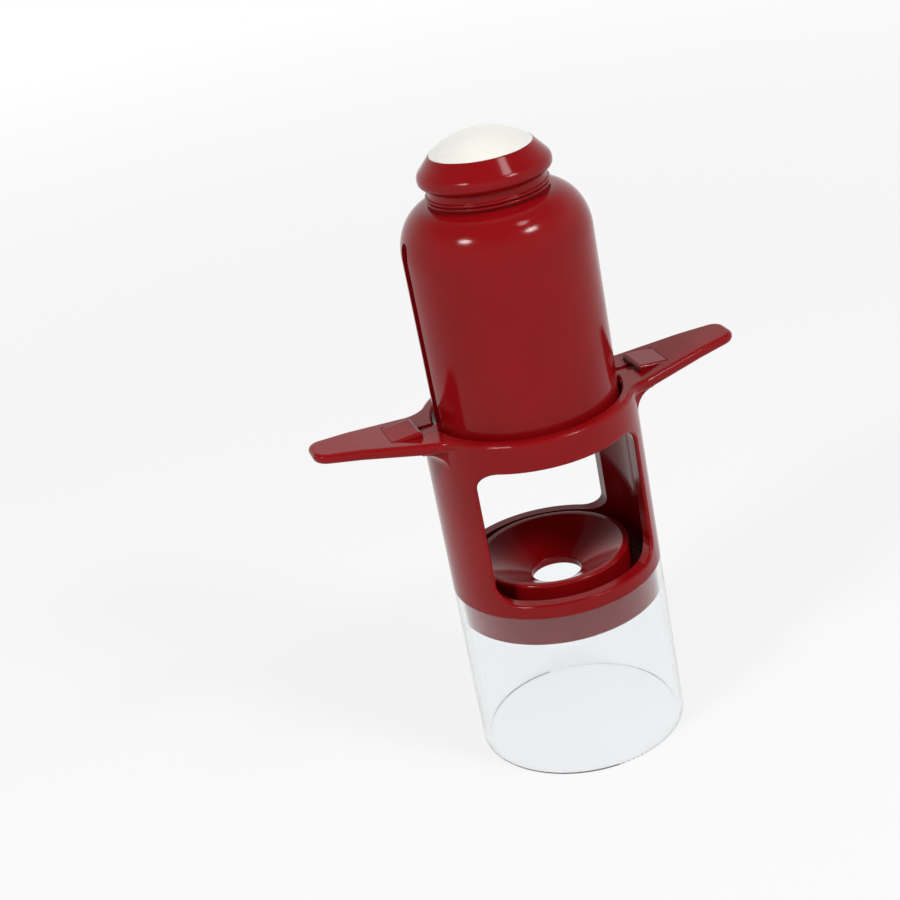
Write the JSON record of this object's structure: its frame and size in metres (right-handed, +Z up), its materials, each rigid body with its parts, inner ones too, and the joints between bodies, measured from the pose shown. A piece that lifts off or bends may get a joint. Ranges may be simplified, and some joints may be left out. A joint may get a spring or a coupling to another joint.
{
  "type": "cherry pitter",
  "caption": "Hand-held plunger cherry pitter with finger wings, fruit windows, a raised seat, a sprung pitting rod and a clear open tube to stand on.",
  "frame": {"origin": "centre of the tube's foot, on the surface that the pitter stands on", "axes": "+Z up along the plunger towards the white cap, X along the finger wings, Y through the fruit windows"},
  "size_m": [0.0944, 0.046, 0.1391],
  "materials": {
    "red_plastic": "glossy moulded",
    "white_plastic": "glossy moulded",
    "clear_plastic": "clear glossy moulded",
    "steel": "bright drawn wire"
  },
  "bodies": {
    "frame": {"frame": "red_plastic", "cherry_seat": "red_plastic", "guide_bridge": "red_plastic", "return_spring": "steel"},
    "plunger": {"plunger_shell": "red_plastic", "thumb_knob": "red_plastic", "knob_cap": "white_plastic", "pitting_rod": "red_plastic", "rod_screw": "steel"},
    "guard": {"splash_guard": "clear_plastic"}
  },
  "joints": [
    {"name": "plunger_press", "type": "slide", "parent": "frame", "child": "plunger", "axis": [0, 0, -1], "range_m": [0, 0.037], "stiffness_N_per_m": 500, "springref_m": -0.009, "deforming": ["return_spring"]},
    {"name": "guard_pull", "type": "slide", "parent": "frame", "child": "guard", "axis": [0, 0, -1], "range_m": [0, 0.015]}
  ]
}
